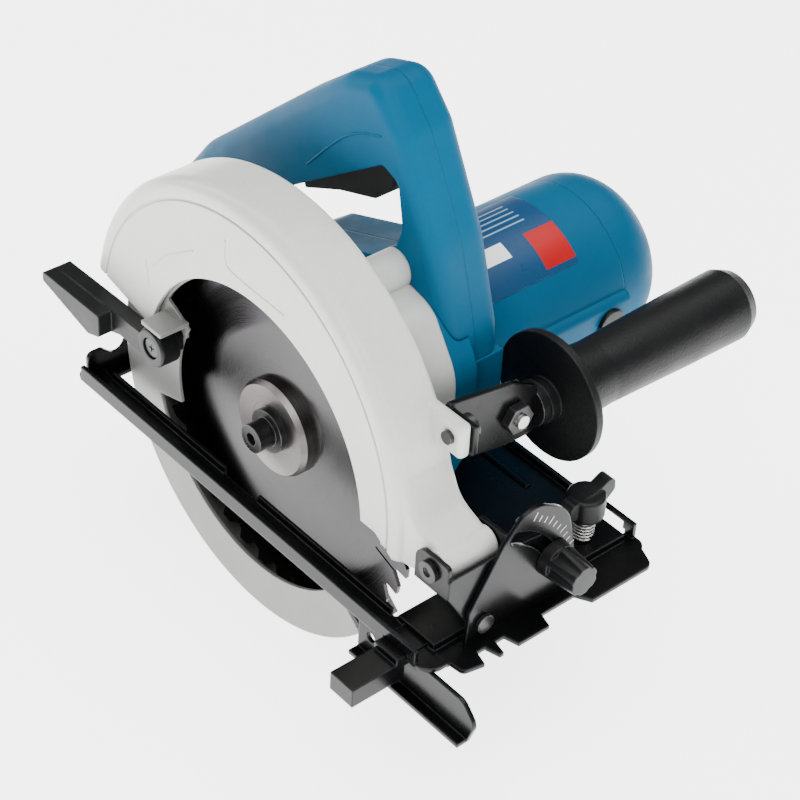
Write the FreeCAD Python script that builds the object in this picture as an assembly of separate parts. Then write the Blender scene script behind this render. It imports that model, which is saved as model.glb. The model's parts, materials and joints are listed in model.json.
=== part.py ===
import FreeCAD, Part
import math
import os

# Circular saw with the blade on its right side, in millimetres.
# +X is the cutting direction, +Y points left towards the motor, +Z is up.
# Z = 0 is the sole; X = 0 and Y = 0 lie under the arbor in the middle plane of the blade.

# Blade and arbor
ARBOR_Z = 27.3
BLADE_RADIUS = 90.0
BLADE_HALF = 0.9
TOOTH_COUNT = 40
FLANGE_RADIUS = 23.0
SPINDLE_RADIUS = 6.0
RUNNING_GAP = 0.05
GAP = 0.3

# Guards
GUARD_RADIUS = 95.5
GUARD_LIP_RADIUS = 73.0
GUARD_NEAR_Y = -14.2
GUARD_FAR_Y = 7.8
GUARD_WALL = 1.6
GUARD_START = 130.0
GUARD_END = 320.0
GUARD_HUB_RADIUS = 30.0
LEVER_SCREW = (-58.0, 46.0)
RETAINER_RADIUS = 24.0
CASE_RADIUS = 108.0
CASE_X = -8.5
CASE_Z = ARBOR_Z + 7.2
CASE_NEAR_Y = -17.5
CASE_BACK_Y = 9.0
CASE_FAR_Y = 12.0
CASE_WALL = 2.5
CASE_OPENING_RADIUS = 74.0

# Gears and motor
GEAR_MODULE = 0.95
SPINDLE_TEETH = 40
PINION_TEETH = 9
GEAR_DISTANCE = GEAR_MODULE * (SPINDLE_TEETH + PINION_TEETH) / 2
MOTOR_X = 8.0
MOTOR_Z = ARBOR_Z + math.sqrt(GEAR_DISTANCE ** 2 - MOTOR_X ** 2)
MOTOR_SHAFT_RADIUS = 4.0
BARREL_RADIUS = 41.0
BARREL_WALL = 2.8
HOUSING_Y = 34.0
BARREL_Y = 46.0
BARREL_END_Y = 158.0
MOTOR_END_Y = 190.0
REAR_BEARING_Y = 170.0
REAR_BEARING_END_Y = 177.0
BEARING_RADIUS = 10.0
HOUSING_WALL = 2.8
HOUSING_FLOOR_Z = 4.2

# Shaft lock pin axis as (y, z)
SHAFT_LOCK = (25.2, ARBOR_Z)

# Handle
HANDLE_Y = 49.5
HANDLE_HALF = 15.5
HANDLE_NEAR_Y = HANDLE_Y - HANDLE_HALF
HANDLE_FAR_Y = HANDLE_Y + HANDLE_HALF
HANDLE_WALL = 3.0
HANDLE_SCREWS = [(6.0, 176.0), (43.0, 125.0), (-74.0, 108.0), (-101.0, 66.0)]
HANDLE_BOSS = 5.5
HANDLE_RECESS = 3.6
HANDLE_SHANK = 1.6
SCREW_GRIP = 10.0
RECESS_DEPTH = 5.0
TRIGGER_PIVOT = (26.0, 163.0)
TRIGGER_PIN = 2.2
TRIGGER_HALF = 6.8
SLOT_HALF = 7.4
LOCK_BUTTON = (-5.0, 161.0)
CORD_INLET = (HANDLE_Y, 60.0)
INLET_END_X = -132.0
INLET_LENGTH = 24.0

# Base
SHEET = 2.0
BASE_REAR = -110.0
BASE_FRONT = 136.0
SIGHT_FRONT = 145.0
BASE_NEAR = -33.0
BASE_LEFT = 93.0
STRIP_INNER = -22.0
STRIP_LIFT = 0.6
STRIP_FLANGE_HEIGHT = 8.5
LIP_HEIGHT = 6.0
SLOT_LEFT = 27.0
SLOT_REAR = -98.0
SLOT_FRONT = 103.0

# Bevel and depth pivots
BEVEL_Y = 0.0
BEVEL_Z = 9.5
BEVEL_BOLT_RADIUS = 40.0
BEVEL_BOLT_ANGLE = 22.7
BEVEL_RANGE = 45.0
QUADRANT_X = 130.0
FRONT_PIVOT_X = 118.0
FRONT_PIVOT_Z = 38.0
LUG_RADIUS = 8.0
DEPTH_BOLT_X = -75.0
DEPTH_BOLT_Z = 35.0
GUIDE_Y = 14.4
GUIDE_TOP_Y = 16.4

# Rip fence and side handle
FENCE_X = 116.0
FENCE_HALF = 7.0
FENCE_END_Y = -61.0
FENCE_SCREW_Y = 72.0
SIDE_X = 87.0
SIDE_Z = 63.0
SIDE_STRAP_X = 88.0
STRAP_BOLT = (50.0, 66.0)
CASE_BOLT = (98.0, 82.0)


def vec(x, y, z):
    return FreeCAD.Vector(x, y, z)


def plane_xz(y):
    return lambda a, b: vec(a, y, b)


def plane_xy(z):
    return lambda a, b: vec(a, b, z)


def plane_yz(x):
    return lambda a, b: vec(x, a, b)


def rounded_face(points, radius, place):
    """Face of a polygon with tangent arcs; a point may carry its own radius."""
    count = len(points)
    corners = []
    for index in range(count):
        here = FreeCAD.Vector(points[index][0], points[index][1], 0)
        before = FreeCAD.Vector(points[index - 1][0], points[index - 1][1], 0)
        after = FreeCAD.Vector(points[(index + 1) % count][0], points[(index + 1) % count][1], 0)
        own = points[index][2] if len(points[index]) > 2 else radius
        back = (before - here).normalize()
        ahead = (after - here).normalize()
        half_angle = back.getAngle(ahead) / 2
        if own < 0.01 or half_angle > 1.56:
            corners.append((here, here, here))
            continue
        reach = own / math.tan(half_angle)
        middle = (back + ahead).normalize()
        centre = here + middle * (own / math.sin(half_angle))
        corners.append((here + back * reach, centre - middle * own, here + ahead * reach))
    edges = []
    for index in range(count):
        start, middle, end = corners[index]
        following = corners[(index + 1) % count][0]
        if (end - start).Length > 1e-6:
            arc = Part.Arc(place(start.x, start.y), place(middle.x, middle.y), place(end.x, end.y))
            edges.append(arc.toShape())
        if (following - end).Length > 1e-6:
            edges.append(Part.makeLine(place(end.x, end.y), place(following.x, following.y)))
    return Part.Face(Part.Wire(edges))


def prism_xz(points, y_low, y_high, radius=0.0):
    return rounded_face(points, radius, plane_xz(y_low)).extrude(vec(0, y_high - y_low, 0))


def prism_xy(points, z_low, z_high, radius=0.0):
    return rounded_face(points, radius, plane_xy(z_low)).extrude(vec(0, 0, z_high - z_low))


def prism_yz(points, x_low, x_high, radius=0.0):
    return rounded_face(points, radius, plane_yz(x_low)).extrude(vec(x_high - x_low, 0, 0))


def box(x_low, x_high, y_low, y_high, z_low, z_high):
    return Part.makeBox(x_high - x_low, y_high - y_low, z_high - z_low, vec(x_low, y_low, z_low))


def rod_x(y, z, x_low, x_high, radius):
    return Part.makeCylinder(radius, x_high - x_low, vec(x_low, y, z), vec(1, 0, 0))


def rod_y(x, z, y_low, y_high, radius):
    return Part.makeCylinder(radius, y_high - y_low, vec(x, y_low, z), vec(0, 1, 0))


def rod_z(x, y, z_low, z_high, radius):
    return Part.makeCylinder(radius, z_high - z_low, vec(x, y, z_low), vec(0, 0, 1))


def ring_y(x, z, y_low, y_high, outer, inner):
    return rod_y(x, z, y_low, y_high, outer).cut(rod_y(x, z, y_low - 1, y_high + 1, inner))


def turned_y(x, z, profile):
    """Solid of revolution about a line along Y; profile is (radius, y) points."""
    points = [vec(x + radius, y, z) for radius, y in profile]
    face = Part.Face(Part.makePolygon(points + points[:1]))
    return face.revolve(vec(x, 0, z), vec(0, 1, 0), 360)


def polar(radius, degrees, x=0.0, z=ARBOR_Z):
    angle = math.radians(degrees)
    return (x + radius * math.cos(angle), z + radius * math.sin(angle))


def sector_xz(inner, outer, start, end, y_low, y_high, x=0.0, z=ARBOR_Z):
    """Part ring between two angles, counted from +X towards +Z."""
    place = plane_xz(y_low)
    middle = (start + end) / 2

    def point(radius, degrees):
        return place(*polar(radius, degrees, x, z))

    outer_arc = Part.Arc(point(outer, start), point(outer, middle), point(outer, end)).toShape()
    inner_arc = Part.Arc(point(inner, end), point(inner, middle), point(inner, start)).toShape()
    closing = Part.makeLine(point(outer, end), point(inner, end))
    opening = Part.makeLine(point(inner, start), point(outer, start))
    face = Part.Face(Part.Wire([outer_arc, closing, inner_arc, opening]))
    return face.extrude(vec(0, y_high - y_low, 0))


def joined(shapes):
    return shapes[0].multiFuse(shapes[1:]).removeSplitter()


def gear(teeth, x, z, y_low, y_high, bore, turn):
    """Spur gear with slim straight-flanked teeth, which leave backlash in the mesh."""
    pitch = GEAR_MODULE * teeth / 2
    root = pitch - 1.15 * GEAR_MODULE
    tip = pitch + 0.75 * GEAR_MODULE
    step = 2 * math.pi / teeth
    points = []
    for index in range(teeth):
        centre = turn + index * step
        for radius, share in ((root, -0.24), (pitch, -0.19), (tip, -0.08), (tip, 0.08), (pitch, 0.19), (root, 0.24)):
            angle = centre + share * step
            points.append((x + radius * math.cos(angle), z + radius * math.sin(angle)))
    body = prism_xz(points, y_low, y_high)
    return body.cut(rod_y(x, z, y_low - 1, y_high + 1, bore)) if bore else body


# ---------------------------------------------------------------- blade and spindle

def blade():
    step = 360.0 / TOOTH_COUNT
    outline = []
    for index in range(TOOTH_COUNT):
        start = index * step
        outline.append(polar(BLADE_RADIUS, start))
        outline.append(polar(BLADE_RADIUS - 1.2, start + 0.35 * step))
        outline.append(polar(BLADE_RADIUS - 7.0, start + 0.70 * step))
        outline.append(polar(BLADE_RADIUS - 6.2, start + 0.92 * step))
    plate = prism_xz(outline, -BLADE_HALF, BLADE_HALF)
    plate = plate.cut(rod_y(0, ARBOR_Z, -2, 2, 10.0))
    for quarter in range(4):
        slot = box(BLADE_RADIUS - 20, BLADE_RADIUS + 1, -2, 2, ARBOR_Z - 0.6, ARBOR_Z + 0.6)
        slot.rotate(vec(0, 0, ARBOR_Z), vec(0, 1, 0), 90 * quarter + 20)
        plate = plate.cut(slot)
    return plate


def inner_flange():
    profile = [(SPINDLE_RADIUS, -BLADE_HALF), (10.0, -BLADE_HALF), (10.0, BLADE_HALF),
               (FLANGE_RADIUS, BLADE_HALF), (FLANGE_RADIUS, 3.0), (14.0, 5.2), (SPINDLE_RADIUS, 5.2)]
    return turned_y(0, ARBOR_Z, profile)


def outer_flange():
    profile = [(SPINDLE_RADIUS, -BLADE_HALF), (FLANGE_RADIUS, -BLADE_HALF), (FLANGE_RADIUS, -4.2),
               (21.5, -6.7), (11.0, -5.6), (SPINDLE_RADIUS, -5.6)]
    return turned_y(0, ARBOR_Z, profile)


def blade_bolt():
    collar = ring_y(0, ARBOR_Z, -8.6, -5.6, 10.5, SPINDLE_RADIUS)
    head = rod_y(0, ARBOR_Z, -17.0, -8.6, 6.8)
    hexagon = [polar(3.4, 60 * index) for index in range(6)]
    head = head.cut(prism_xz(hexagon, -17.5, -12.0))
    return joined([collar, head, rod_y(0, ARBOR_Z, -8.7, -5.6, SPINDLE_RADIUS)])


def spindle():
    shaft = rod_y(0, ARBOR_Z, -5.6, 47.5, SPINDLE_RADIUS)
    flat = box(4.6, 7.0, 22.6, 27.8, ARBOR_Z - 7, ARBOR_Z + 7)
    return shaft.cut(flat)


def screws(spots, head_radius, head_low, head_high, shank_radius, shank_end):
    made = []
    for x, z in spots:
        head = rod_y(x, z, head_low, head_high, head_radius)
        shank = rod_y(x, z, min(head_low, shank_end), max(head_high, shank_end), shank_radius)
        cross = joined([box(x - 2, x + 2, head_low - 1, head_low + 1, z - 0.4, z + 0.4),
                        box(x - 0.4, x + 0.4, head_low - 1, head_low + 1, z - 2, z + 2)])
        if shank_end < head_low:
            cross.translate(vec(0, head_high - head_low, 0))
        made.append(joined([head, shank]).cut(cross))
    return Part.makeCompound(made)


# ---------------------------------------------------------------- guards

def lower_guard():
    near = sector_xz(GUARD_LIP_RADIUS, GUARD_RADIUS, GUARD_START, GUARD_END,
                     GUARD_NEAR_Y, GUARD_NEAR_Y + GUARD_WALL)
    rim = sector_xz(GUARD_RADIUS - GUARD_WALL, GUARD_RADIUS, GUARD_START, GUARD_END,
                    GUARD_NEAR_Y, GUARD_FAR_Y)
    far = sector_xz(GUARD_HUB_RADIUS - 2, GUARD_RADIUS, GUARD_START, GUARD_END,
                    GUARD_FAR_Y - GUARD_WALL, GUARD_FAR_Y)
    hub = ring_y(0, ARBOR_Z, GUARD_FAR_Y - GUARD_WALL, GUARD_FAR_Y,
                 GUARD_HUB_RADIUS, RETAINER_RADIUS + RUNNING_GAP)
    ear = sector_xz(56.0, GUARD_LIP_RADIUS + 1, 150.0, 196.0, GUARD_NEAR_Y, GUARD_NEAR_Y + GUARD_WALL)
    tab = box(-64.0, -50.0, -28.0, GUARD_NEAR_Y + GUARD_WALL, 56.0, 58.0)
    tab_root = box(-64.0, -50.0, GUARD_NEAR_Y, GUARD_NEAR_Y + GUARD_WALL, 50.0, 58.0)
    return joined([near, rim, far, hub, ear, tab, tab_root])


def guard_lever():
    """Thumb lever, clear of the case face that it sweeps over."""
    y_far = CASE_NEAR_Y - 0.8
    arm = prism_xz([(-134, 41), (-134, 46), (-60, 48), (-56, 46), (-56, 38), (-62, 37), (-84, 37), (-99, 32)],
                   -26.0, y_far, 1.5)
    thumb_pad = prism_xz([(-134, 41), (-134, 46), (-90, 46.4), (-90, 35), (-99, 32)], -33.0, y_far, 1.0)
    foot = prism_xz([(-66, 42), (-66, 52), (-52, 52), (-52, 42)], y_far, GUARD_NEAR_Y, 2.0)
    eye = rod_y(*LEVER_SCREW, -28.0, y_far, 9.4)
    eye = eye.makeFillet(1.5, [edge for edge in eye.Edges if edge.BoundBox.YMax < -27.9])
    body = joined([arm, thumb_pad, foot, eye]).cut(rod_y(*LEVER_SCREW, -30, -25.0, 5.2))
    return body.cut(rod_y(*LEVER_SCREW, -40, GUARD_NEAR_Y + 1, 2.6))


def guard_lever_screw():
    return screws([LEVER_SCREW], 4.6, -27.2, -25.0, 2.6, GUARD_NEAR_Y)


def half_turns(points, tangent, wire_radius):
    """Round wire in half turns from point to point, crossing each one along the tangent."""
    pieces = []
    for index in range(len(points) - 1):
        start = points[index]
        chord = points[index + 1] - start
        axis = chord.cross(tangent) * (1 if index % 2 == 0 else -1)
        disc = Part.Face(Part.Wire(Part.makeCircle(wire_radius, start, tangent)))
        pieces.append(disc.revolve(start + chord * 0.5, axis, 180))
    return joined(pieces)


def guard_spring():
    """Flat spiral of two and a half turns around the retainer."""
    right = RETAINER_RADIUS + 1.6
    step = 1.2
    points = [vec((right + step * (index // 2)) if index % 2 == 0 else -(right + step * (index // 2) + step / 2),
                  4.2, ARBOR_Z) for index in range(6)]
    return half_turns(points, vec(0, 0, 1), 0.4)


def bearing_retainer():
    return ring_y(0, ARBOR_Z, 5.9, CASE_FAR_Y, RETAINER_RADIUS, 16.5)


def blade_case():
    """Fixed upper guard: near face with its round opening, rim, back plate, boss and lug."""
    outer = rod_y(CASE_X, CASE_Z, CASE_NEAR_Y, CASE_FAR_Y, CASE_RADIUS)
    near_rim = [edge for edge in outer.Edges
                if edge.BoundBox.YMax < CASE_NEAR_Y + 0.1 and edge.BoundBox.XLength > CASE_RADIUS]
    outer = outer.makeFillet(6.0, near_rim)
    far_rim = [edge for edge in outer.Edges
               if edge.BoundBox.YMin > CASE_FAR_Y - 0.1 and edge.BoundBox.XLength > CASE_RADIUS]
    outer = outer.makeFillet(2.4, far_rim)
    hollow = rod_y(CASE_X, CASE_Z, CASE_NEAR_Y + CASE_WALL, CASE_BACK_Y, CASE_RADIUS - CASE_WALL)
    shell = outer.cut(hollow)
    shell = shell.cut(rod_y(0, ARBOR_Z, CASE_NEAR_Y - 1, -10.0, CASE_OPENING_RADIUS))
    below = prism_xz([(-140, -90), (-140, 62), polar(60, 165.5), (0, ARBOR_Z), (74, 33), (83, 33), (94, 26),
                      (112, 27), (140, 27), (140, -90)], CASE_NEAR_Y - 1, CASE_BACK_Y)
    shell = shell.cut(below)
    far_below = prism_xz([(-140, -90), (-140, 24), (-88, 24), (-60, 22), (-28, 3.5), (28, 3.5), (60, 24),
                          (112, 26), (140, 26), (140, -90)], CASE_BACK_Y - 0.1, CASE_FAR_Y + 1)
    shell = shell.cut(far_below)
    shell = shell.cut(rod_y(0, ARBOR_Z, CASE_BACK_Y - 1, CASE_FAR_Y + 1, RETAINER_RADIUS))
    web = prism_xz([(84, 26), (84, 68), (94, 68, 4), (103, 51, 14), (FRONT_PIVOT_X, FRONT_PIVOT_Z + LUG_RADIUS - 0.5, 3),
                    (FRONT_PIVOT_X + LUG_RADIUS - 0.5, FRONT_PIVOT_Z, 5), (FRONT_PIVOT_X, 30.2, 3), (106, 26)],
                   -15.0, CASE_FAR_Y)
    soft = [edge for edge in web.Edges
            if edge.BoundBox.YLength < 0.01 and edge.BoundBox.XMin > 84.1 and edge.CenterOfMass.z > 42.0]
    web = web.makeFillet(3.5, soft)
    lug = joined([web, rod_y(FRONT_PIVOT_X, FRONT_PIVOT_Z, -15.0, CASE_FAR_Y, LUG_RADIUS - 1.0)])
    lug = lug.cut(rod_y(0, ARBOR_Z, -14.5, CASE_BACK_Y, GUARD_RADIUS + 1.2))
    boss = box(84.0, 105.0, 6.0, CASE_FAR_Y, 73.0, 90.0)
    boss = boss.makeFillet(2.4, [edge for edge in boss.Edges if edge.BoundBox.XMax > 104.9])
    boss = boss.cut(rod_y(CASE_X, CASE_Z, -9.0, CASE_BACK_Y, CASE_RADIUS - CASE_WALL))
    groove = ring_y(CASE_X, CASE_Z, CASE_NEAR_Y - 1, CASE_NEAR_Y + 0.7, 99.6, 98.4)
    shell = joined([shell.cut(groove), lug, boss]).cut(rod_y(*CASE_BOLT, 4.0, 20.0, 3.0))
    shell = shell.cut(rod_y(FRONT_PIVOT_X, FRONT_PIVOT_Z, -20, 20, 4.0 + RUNNING_GAP))
    return shell.cut(rod_y(DEPTH_BOLT_X, DEPTH_BOLT_Z, 5, 20, 3.0))


def guard_stop():
    return rod_y(*polar(84.0, 118.0), 7.9 + GAP, CASE_BACK_Y, 4.0)


# ---------------------------------------------------------------- gear housing and motor

HOUSING_OUTLINE = [(-34, HOUSING_FLOOR_Z, 8), (56, HOUSING_FLOOR_Z, 20), (71, 40, 30), (71, 82, 24), (54, 107, 16),
                   (28, 113, 15), (0, 104, 30), (-36, 88, 24), (-48, 50, 30)]
HOUSING_LOBE = (31.0, 114.0)
HOUSING_SCREWS = [(-27.0, 80.0), (-27.0, 16.0), (50.0, 16.0), (52.0, 88.0)]
SCREW_SHANK = 2.0
SCREW_BOSS = 4.5


def housing_profile(shrink, y_low, y_high):
    face = rounded_face(HOUSING_OUTLINE, 0.0, plane_xz(y_low))
    if shrink:
        face = face.makeOffset2D(-shrink)
    lobe = rod_y(*HOUSING_LOBE, y_low, y_high, 9.0 - shrink * 0.5)
    return joined([face.extrude(vec(0, y_high - y_low, 0)), lobe])


def columns(spots, radius, y_low, y_high):
    return [rod_y(x, z, y_low, y_high, radius) for x, z in spots]


def gear_housing():
    body = housing_profile(0.0, CASE_FAR_Y, HOUSING_Y)
    body = body.cut(housing_profile(HOUSING_WALL, 25.0, HOUSING_Y + 1))
    body = joined([body] + columns(HOUSING_SCREWS, SCREW_BOSS, 24.0, HOUSING_Y))
    for hole in columns(HOUSING_SCREWS, SCREW_SHANK, 20.0, HOUSING_Y + 1):
        body = body.cut(hole)
    body = body.cut(rod_y(0, ARBOR_Z, CASE_FAR_Y - 1, 26.0, 16.5))
    return body.cut(rod_x(*SHAFT_LOCK, 5.0, 80.0, 2.55))


def spindle_bearing_front():
    return ring_y(0, ARBOR_Z, 12.5, 22.5, 16.5, SPINDLE_RADIUS + RUNNING_GAP)


def spindle_bearing_rear():
    return ring_y(0, ARBOR_Z, 40.0, 47.0, BEARING_RADIUS, SPINDLE_RADIUS + RUNNING_GAP)


HANDLE_FOOT_X = 66.0
HANDLE_FOOT_Z = 79.0


def handle_foot():
    """Block beside the barrel that the front leg of the handle stands on."""
    return prism_xz([(30, 36), (HANDLE_FOOT_X, 36, 6), (HANDLE_FOOT_X, HANDLE_FOOT_Z), (34, HANDLE_FOOT_Z)],
                    BARREL_Y - 1, HANDLE_FAR_Y)


def motor_housing():
    """Flange that meets the gear housing, then the barrel with its brush rib."""
    flange = housing_profile(0.0, HOUSING_Y, BARREL_Y)
    barrel = rod_y(MOTOR_X, MOTOR_Z, BARREL_Y - 1, BARREL_END_Y, BARREL_RADIUS)
    rib = prism_xz([(30, MOTOR_Z - 16), (30, MOTOR_Z + 12), (52, MOTOR_Z + 9), (52, MOTOR_Z - 13)],
                   BARREL_Y - 1, BARREL_END_Y, 4.0)
    body = joined([flange, barrel, rib, handle_foot()])
    cavity = housing_profile(HOUSING_WALL, HOUSING_Y - 1, 38.6)
    body = joined([body.cut(cavity)] + columns(HOUSING_SCREWS, SCREW_BOSS, HOUSING_Y, 39.0))
    for hole in columns(HOUSING_SCREWS, SCREW_SHANK, HOUSING_Y - 1, BARREL_Y + 1):
        body = body.cut(hole)
    body = body.cut(rod_y(MOTOR_X, MOTOR_Z, 48.0, BARREL_END_Y + 1, BARREL_RADIUS - BARREL_WALL))
    body = body.cut(rod_y(0, ARBOR_Z, 38.0, 47.0, BEARING_RADIUS))
    body = body.cut(rod_y(0, ARBOR_Z, 38.0, 49.0, SPINDLE_RADIUS + 1))
    body = body.cut(rod_y(MOTOR_X, MOTOR_Z, 38.0, 49.0, BEARING_RADIUS))
    return body.cut(rod_x(146.0, MOTOR_Z - 2, MOTOR_X + 20, 60.0, 7.5))


def motor_end_cover():
    outer = rod_y(MOTOR_X, MOTOR_Z, BARREL_END_Y, MOTOR_END_Y, BARREL_RADIUS)
    end_rim = [edge for edge in outer.Edges
               if edge.BoundBox.YMin > MOTOR_END_Y - 0.1 and edge.BoundBox.XLength > BARREL_RADIUS]
    outer = outer.makeFillet(24.0, end_rim)
    outer = outer.cut(rod_y(MOTOR_X, MOTOR_Z, BARREL_END_Y - 1, REAR_BEARING_Y, BARREL_RADIUS - 12.0))
    outer = outer.cut(rod_y(MOTOR_X, MOTOR_Z, REAR_BEARING_Y - 1, REAR_BEARING_END_Y, BEARING_RADIUS))
    for index in range(5):
        middle = MOTOR_X + 5 * (index - 2)
        outer = outer.cut(box(middle - 1.1, middle + 1.1, MOTOR_END_Y - 4, MOTOR_END_Y + 2,
                              MOTOR_Z - 11, MOTOR_Z + 11))
    return outer


def armature_shaft():
    shaft = rod_y(MOTOR_X, MOTOR_Z, 37.0, REAR_BEARING_END_Y, MOTOR_SHAFT_RADIUS)
    mesh_angle = math.atan2(ARBOR_Z - MOTOR_Z, -MOTOR_X)
    pinion = gear(PINION_TEETH, MOTOR_X, MOTOR_Z, 27.6, 37.0, 0, mesh_angle + math.pi / PINION_TEETH)
    return joined([shaft, pinion])


def spindle_gear():
    mesh_angle = math.atan2(MOTOR_Z - ARBOR_Z, MOTOR_X)
    return gear(SPINDLE_TEETH, 0, ARBOR_Z, 28.2, 36.6, SPINDLE_RADIUS, mesh_angle)


def armature_core():
    core = ring_y(MOTOR_X, MOTOR_Z, 72.0, 124.0, 24.0, MOTOR_SHAFT_RADIUS)
    for index in range(12):
        slot = box(MOTOR_X - 1.1, MOTOR_X + 1.1, 71.0, 125.0, MOTOR_Z + 16, MOTOR_Z + 25)
        slot.rotate(vec(MOTOR_X, 0, MOTOR_Z), vec(0, 1, 0), 30 * index)
        core = core.cut(slot)
    return core


def commutator():
    return ring_y(MOTOR_X, MOTOR_Z, 137.0, 155.0, 11.5, MOTOR_SHAFT_RADIUS)


def fan():
    hub = ring_y(MOTOR_X, MOTOR_Z, 54.0, 66.0, 9.0, MOTOR_SHAFT_RADIUS)
    disc = ring_y(MOTOR_X, MOTOR_Z, 54.0, 55.6, 35.0, 8.0)
    blades = []
    for index in range(12):
        vane = box(MOTOR_X + 8.5, MOTOR_X + 34.0, 55.0, 65.0, MOTOR_Z - 0.7, MOTOR_Z + 0.7)
        vane.rotate(vec(MOTOR_X, 0, MOTOR_Z), vec(0, 1, 0), 30 * index)
        blades.append(vane)
    return joined([hub, disc] + blades)


def armature_bearing_front():
    return ring_y(MOTOR_X, MOTOR_Z, 41.0, 48.0, BEARING_RADIUS, MOTOR_SHAFT_RADIUS + RUNNING_GAP)


def armature_bearing_rear():
    return ring_y(MOTOR_X, MOTOR_Z, REAR_BEARING_Y, REAR_BEARING_END_Y, BEARING_RADIUS, MOTOR_SHAFT_RADIUS + RUNNING_GAP)


def field_core():
    ring = ring_y(MOTOR_X, MOTOR_Z, 72.0, 124.0, BARREL_RADIUS - BARREL_WALL, 25.0)
    for side in (-1, 1):
        window = box(MOTOR_X + side * 31 - 3, MOTOR_X + side * 31 + 3, 71, 125, MOTOR_Z - 12, MOTOR_Z + 12)
        ring = ring.cut(window)
    return ring


def fan_baffle():
    return ring_y(MOTOR_X, MOTOR_Z, 67.5, 70.0, BARREL_RADIUS - BARREL_WALL, 27.0)


def brushes():
    near = box(MOTOR_X + 11.8, MOTOR_X + 28.0, 143.0, 149.0, MOTOR_Z - 5, MOTOR_Z + 1)
    far = box(MOTOR_X - 28.0, MOTOR_X - 11.8, 143.0, 149.0, MOTOR_Z - 5, MOTOR_Z + 1)
    return Part.makeCompound([near, far])


def brush_holders():
    parts = []
    for side in (-1, 1):
        low = MOTOR_X + (13.0 if side > 0 else -29.9)
        high = MOTOR_X + (29.9 if side > 0 else -13.0)
        tube = box(low, high, 141.4, 149.95, MOTOR_Z - 6.6, MOTOR_Z + 2.6)
        parts.append(tube.cut(box(low - 1, high + 1, 143.0, 149.0, MOTOR_Z - 5, MOTOR_Z + 1)))
    return Part.makeCompound(parts)


def brush_cap():
    cap = rod_x(146.0, MOTOR_Z - 2, MOTOR_X + 36, 54.0, 7.5)
    return cap.cut(box(52.6, 55.0, 138.0, 154.0, MOTOR_Z - 3, MOTOR_Z - 1))


def label_plate():
    shell = ring_y(MOTOR_X, MOTOR_Z, 84.0, 136.0, BARREL_RADIUS + 0.4, BARREL_RADIUS)
    window = box(MOTOR_X - 16, MOTOR_X + 30, 83, 137, MOTOR_Z + 28, MOTOR_Z + 60)
    return shell.common(window)


# ---------------------------------------------------------------- handle

HANDLE_OUTLINE = [(12, 193, 12), (29, 175, 16), (52, 131, 60), (64, 93, 30), (66, 67, 5), (48, 63, 5), (-48, 63, 6),
                  (-75, 42, 10), (-112, 44, 12), (-129, 71, 12), (-104, 104, 40), (-29, 170, 40), (-9, 186, 20)]
HANDLE_OPENING = [(-93, 71, 9), (-36, 119, 20), (19, 158, 5), (29, 154, 5), (33, 134, 8), (27, 116, 8), (1, 106, 12),
                  (-34, 93, 12), (-71, 63, 10)]
TRIGGER_OUTLINE = [(-40, 112), (-17, 123), (6, 131, 5), (16, 140, 5), (16, 150, 3), (29, 160), (29, 167), (20, 167),
                   (-10, 146, 4), (-42, 121)]
TRIGGER_SLOT = [(-50, 98), (-50, 134), (-14, 156), (8, 170), (24, 170), (30.5, 163), (31, 150), (31, 128)]


def handle_half(y_seam, y_side):
    """Half of the loop handle: a hollow shell with a collar around the finger opening."""
    low = min(y_seam, y_side)
    high = max(y_seam, y_side)
    inward = 1 if y_side > y_seam else -1
    outer = prism_xz(HANDLE_OUTLINE, low, high)
    side_edges = [edge for edge in outer.Edges
                  if abs(edge.BoundBox.YMin - y_side) < 0.01 and abs(edge.BoundBox.YMax - y_side) < 0.01]
    outer = outer.makeFillet(8.0, side_edges)
    inner = rounded_face(HANDLE_OUTLINE, 0.0, plane_xz(y_seam)).makeOffset2D(-HANDLE_WALL)
    cavity = inner.extrude(vec(0, inward * (HANDLE_HALF - HANDLE_WALL), 0))
    collar = rounded_face(HANDLE_OPENING, 0.0, plane_xz(y_seam)).makeOffset2D(HANDLE_WALL)
    cavity = cavity.cut(collar.extrude(vec(0, inward * HANDLE_HALF, 0)))
    cavity = cavity.cut(box(HANDLE_FOOT_X - 20, HANDLE_FOOT_X + 1, low - 1, high + 1, 0, HANDLE_FOOT_Z + HANDLE_WALL))
    half = outer.cut(cavity).cut(prism_xz(HANDLE_OPENING, low - 1, high + 1))
    half = half.cut(rod_y(MOTOR_X, MOTOR_Z, low - 1, high + 1, BARREL_RADIUS)).cut(handle_foot())
    half = half.cut(housing_profile(0.0, HOUSING_Y - 1, BARREL_Y))
    for pocket in columns(HOUSING_SCREWS, SCREW_BOSS, BARREL_Y - 1, BARREL_Y + 3):
        half = half.cut(pocket)
    slot = prism_xz(TRIGGER_SLOT, HANDLE_Y - SLOT_HALF, HANDLE_Y + SLOT_HALF)
    return half.cut(slot).cut(rod_x(*CORD_INLET, INLET_END_X - 5, INLET_END_X + INLET_LENGTH + 1, 8.0))


def handle_right():
    half = handle_half(HANDLE_Y, HANDLE_NEAR_Y)
    half = joined([half] + columns(HANDLE_SCREWS, HANDLE_BOSS, HANDLE_NEAR_Y + 2, HANDLE_Y)
                  + columns([TRIGGER_PIVOT], TRIGGER_PIN + 2.3, HANDLE_NEAR_Y + 2, HANDLE_Y - SLOT_HALF))
    for hole in columns(HANDLE_SCREWS, HANDLE_SHANK, HANDLE_Y - SCREW_GRIP, HANDLE_Y + 1):
        half = half.cut(hole)
    return half.cut(rod_y(*TRIGGER_PIVOT, HANDLE_Y - 11.5, HANDLE_Y, TRIGGER_PIN + RUNNING_GAP))


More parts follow.
